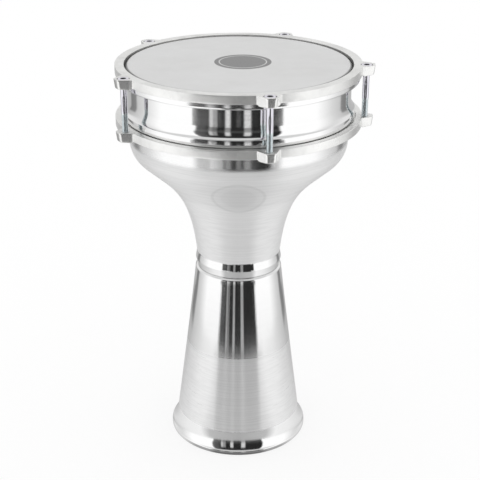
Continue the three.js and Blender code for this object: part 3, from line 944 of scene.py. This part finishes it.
screw_verts, screw_faces = screw_mesh()
washer_outline = softened(
    [(HOLE_R, 0, 0.1), (WASHER_R, 0, 0.15), (WASHER_R, WASHER_T, 0.25), (HOLE_R, WASHER_T, 0.1)], steps=3
)
for number, angle in enumerate(LUG_ANGLES, 1):
    spot = AXIS + Vector((math.sin(angle), -math.cos(angle), 0.0)) * SCREW_CIRCLE_R * MM
    turn = Matrix.Rotation(angle + SCREW_SPIN * number, 4, "Z")
    stand = Matrix.Translation(spot + Vector((0, 0, (CAP_TOP_Z - CAP_H - SCREW_L) * MM))) @ turn
    screw = make_object(f"socket_screw_{number}", screw_verts, screw_faces, place=stand, sharp_deg=40)
    finish_piece(screw, f"screw_{number}", "screw_steel", screw_metal, f"tension_screw_{number}")
    base = Matrix.Translation(spot + Vector((0, 0, (POCKET_FLOOR_Z + GAP) * MM)))
    washer = lathe(f"plain_washer_{number}", washer_outline, steps=64, place=base)
    finish_piece(washer, "ring", "screw_steel", washer_metal, f"screw_washer_{number}")


# ---------------------------------------------------------------- studio
FLOOR_R, GLOW_R = 9.0, 0.42    # metres
BACKDROP_GREY = 0.983          # what the camera sees past the floor
# (turn, grey), where a turn of 0 is in front of the drum and 1 is behind it
ROOM_GREYS = [(0.0, 1.0), (0.47, 1.0), (0.60, 0.68), (0.77, 0.43), (1.0, 0.48)]
TABLE_GREYS = [(0.0, 0.45), (0.22, 0.55), (0.30, 1.0), (0.42, 0.95), (0.55, 0.78), (0.72, 0.56), (1.0, 0.44)]
TABLE_DOORWAY = [(0.0, 1.0), (0.66, 1.0), (0.70, 0.45), (0.78, 0.45), (0.82, 1.0), (1.0, 1.0)]
# light strips in front as (left, right, brightness), in degrees of azimuth
STRIPS = [(-29.2, -25.4, 0.8), (-25.4, -21.0, 0.42), (-13.2, -8.0, 0.95), (5.3, 12.2, 0.95)]


def stage_disc(name, radius, z, material):
    """A round stage piece about the drum's axis, in metres."""
    mesh = bpy.data.meshes.new(name)
    steps = 96
    mesh.from_pydata(circle(radius, z, steps), [], [tuple(range(steps))])
    mesh.materials.append(material)
    obj = bpy.data.objects.new(name, mesh)
    bpy.context.scene.collection.objects.link(obj)
    obj.location = AXIS
    return obj


def studio_floor():
    """The pale floor: nearly shadowless, and left out of reflections."""
    paint = Shader("floor_pale", Base_Color=grey(0.3), Roughness=1.0, Specular_IOR_Level=0.0,
                   Emission_Color=grey(1.0), Emission_Strength=0.70)
    floor = stage_disc("floor", FLOOR_R, -0.0002, paint.material)
    floor.visible_glossy = False


def near_floor():
    """What polished metal mirrors of the table top round the drum."""
    material = bpy.data.materials.new("table_glow")
    material.use_nodes = True
    n = Nodes(material.node_tree)
    n.tree.nodes.clear()
    place = n.node("TexCoord").outputs["Object"]
    x, y, _ = n.node("SeparateXYZ", {0: place}).outputs
    azimuth = n.math("ARCTAN2", x, n.math("MULTIPLY", y, -1.0))
    turned = n.math("DIVIDE", n.math("ABSOLUTE", azimuth), math.pi)
    reach = n.node("VectorMath", {0: place}, operation="LENGTH").outputs["Value"]
    table = n.stops(turned, TABLE_GREYS)
    # it is dark under the doorways of the room, away from the drum
    doorway = n.stops(turned, TABLE_DOORWAY)
    away = n.mix(n.ramp(reach, 0.295, 0.34, smooth=False), 1.0, doorway)
    # and close to the rim, where the drum shades it
    rim = n.ramp(turned, 0.11, 0.15, 0.25, 0.72, smooth=False)
    strength = n.mix(n.ramp(reach, 0.069, 0.086, smooth=False), rim, away)
    glow = n.node("Emission", {"Color": table, "Strength": strength})
    n.node("OutputMaterial", {"Surface": glow.outputs[0]})
    disc = stage_disc("table_glow", GLOW_R, -0.0001, material)
    disc.visible_camera = False
    disc.visible_diffuse = False
    disc.visible_shadow = False
    disc.visible_transmission = False


def studio_room(n, azimuth, elevation):
    """Brightness of the mirrored room: soft boxes at the sides and grey-white behind."""
    off_front = n.math("ABSOLUTE", azimuth)
    room = n.math("MULTIPLY", n.stops(n.math("DIVIDE", off_front, 180.0), ROOM_GREYS), 1.14)
    # a dark doorway on either side of the back, low down
    doorway = n.math("MULTIPLY", n.ramp(off_front, 123.0, 128.0), n.ramp(off_front, 138.0, 143.0, 1.0, 0.0))
    doorway = n.math("MULTIPLY", doorway, n.ramp(elevation, -12.0, -6.0, 0.55, 0.0))
    room = n.math("MULTIPLY", room, n.math("SUBTRACT", 1.0, doorway))
    behind_and_up = n.math("MULTIPLY", n.ramp(off_front, 95.0, 130.0), n.ramp(elevation, -2.0, 10.0))
    return n.mix(behind_and_up, room, 0.86)


def front_share(n, azimuth, elevation):
    """1 in the dark sector in front and 0 outside it. Different walls of the drum mirror
    different elevations, so its width by elevation shapes the patch on each of them."""
    half_width = n.math("SUBTRACT", 46.0, n.ramp(elevation, -16.5, -14.0, 0.0, 4.5))
    half_width = n.math("ADD", half_width, n.ramp(elevation, 0.0, 12.0, 0.0, 2.0))
    # narrower for the bowl's wall under the anchor ring, more so on the left
    half_width = n.math("SUBTRACT", half_width, n.ramp(elevation, -20.4, -18.4, 11.0, 0.0))
    on_left = n.ramp(azimuth, -4.0, 0.0, 1.0, 0.0)
    slant = n.math("MULTIPLY", n.ramp(elevation, -21.2, -19.4, 20.0, 0.0), on_left)
    half_width = n.math("SUBTRACT", half_width, slant)
    softness = n.mix(n.ramp(elevation, -16.5, -15.7), 1.0, 1.6)
    off_centre = n.math("ABSOLUTE", n.math("ADD", azimuth, 1.0))
    past_edge = n.math("DIVIDE", n.math("SUBTRACT", off_centre, half_width), softness)
    return n.ramp(past_edge, -1.0, 1.0, 1.0, 0.0)


def front_light(n, azimuth, elevation):
    """Brightness inside the dark sector: near black, with upright light strips."""
    dark = n.mix(n.ramp(elevation, -6.0, -1.0), 0.022, 0.06)
    dark = n.mix(n.ramp(elevation, 2.0, 12.0), dark, 0.02)
    strips = 0.0
    for left, right, value in STRIPS:
        starts = n.ramp(azimuth, left - 0.6, left + 0.8)
        ends = n.ramp(azimuth, right - 0.8, right + 0.6, 1.0, 0.0)
        strip = n.math("MULTIPLY", n.math("MULTIPLY", starts, ends), value)
        strips = n.math("ADD", strips, strip)
    # full strength in the collar, faint on the foot, none under the anchor ring or high up
    collar = n.math("MULTIPLY", n.ramp(elevation, -19.6, -18.2), n.ramp(elevation, -16.5, -15.6, 1.0, 0.0))
    gain = n.math("MULTIPLY", n.mix(collar, 0.3, 1.05), n.ramp(elevation, -20.0, -18.8, 0.35, 1.0))
    gain = n.mix(n.ramp(elevation, 0.0, 8.0), gain, 0.7)
    gain = n.math("MULTIPLY", gain, n.ramp(elevation, 20.0, 32.0, 1.0, 0.0))
    gain = n.math("MULTIPLY", gain, n.ramp(elevation, -19.4, -18.7))
    strips = n.math("MULTIPLY", strips, gain)
    # one narrow bar in a grey field, mirrored only by the wall under the anchor ring
    off_bar = n.math("ABSOLUTE", azimuth)
    bar = n.math("ADD", n.ramp(off_bar, 1.5, 3.0, 0.42, 0.0), n.ramp(off_bar, 5.0, 8.0, 0.0, 0.08))
    bar = n.math("MULTIPLY", bar, n.ramp(off_bar, 15.0, 24.0, 1.0, 0.0))
    bar = n.math("MULTIPLY", bar, n.ramp(elevation, -19.3, -18.8, 1.0, 0.0))
    light = n.math("ADD", dark, n.math("ADD", strips, bar))
    # a little light from the far left, and on the foot from the left too
    light = n.math("ADD", light, n.ramp(azimuth, -48.0, -38.0, 0.14, 0.0))
    foot = n.ramp(elevation, -16.5, -15.7)
    return n.math("ADD", light, n.math("MULTIPLY", foot, n.ramp(azimuth, -38.0, -24.0, 0.08, 0.0)))


def studio_world():
    """White to the eye and to matt surfaces. Polished metal mirrors a studio: white soft
    boxes at the sides, a dark sector with light strips in front, and a bright ceiling."""
    world = bpy.data.worlds.new("studio")
    bpy.context.scene.world = world
    world.use_nodes = True
    n = Nodes(world.node_tree)
    n.tree.nodes.clear()
    x, y, z = n.node("SeparateXYZ", {0: n.node("TexCoord").outputs["Generated"]}).outputs
    degrees = 180 / math.pi
    azimuth = n.math("MULTIPLY", n.math("ARCTAN2", x, n.math("MULTIPLY", y, -1.0)), degrees)
    elevation = n.math("MULTIPLY", n.math("ARCSINE", z), degrees)

    front = front_share(n, azimuth, elevation)
    wall = n.mix(front, studio_room(n, azimuth, elevation), front_light(n, azimuth, elevation))
    # the ceiling starts higher up in front
    ceiling = n.ramp(n.math("SUBTRACT", elevation, n.math("MULTIPLY", front, 5.0)), 38.0, 46.0)
    mirrored = n.mix(ceiling, wall, 0.72)

    path = n.node("LightPath")
    value = n.mix(path.outputs["Is Glossy Ray"], 1.0, mirrored)
    value = n.mix(path.outputs["Is Camera Ray"], value, BACKDROP_GREY)
    tint = n.node("CombineColor", {"Red": value, "Green": value, "Blue": value})
    back = n.node("Background", {"Color": tint.outputs[0], "Strength": 1.0})
    n.node("OutputWorld", {"Surface": back.outputs[0]})


studio_floor()
near_floor()
studio_world()

scene = bpy.context.scene
scene.view_settings.view_transform = "Standard"
scene.view_settings.look = "None"
scene.view_settings.exposure = 0.0
scene.view_settings.gamma = 1.0

# The camera stands where the photographer's did, in metres and degrees from the drum's axis.
CAMERA_PLACE = (0.0, -1.00028, 0.64278)
CAMERA_YAW, CAMERA_DOWN, CAMERA_ROLL = -0.086, 23.629, 0.149
camera_data = bpy.data.cameras.new("camera")
camera_data.sensor_width = 36.0
camera_data.lens = 83.12
camera_data.clip_start = 0.05
camera_data.clip_end = 60.0
camera = bpy.data.objects.new("camera", camera_data)
scene.collection.objects.link(camera)
camera.matrix_world = (
    Matrix.Translation(AXIS + Vector(CAMERA_PLACE))
    @ Matrix.Rotation(math.radians(CAMERA_YAW), 4, "Z")
    @ Matrix.Rotation(math.radians(90.0 - CAMERA_DOWN), 4, "X")
    @ Matrix.Rotation(math.radians(CAMERA_ROLL), 4, "Z")
)
scene.camera = camera
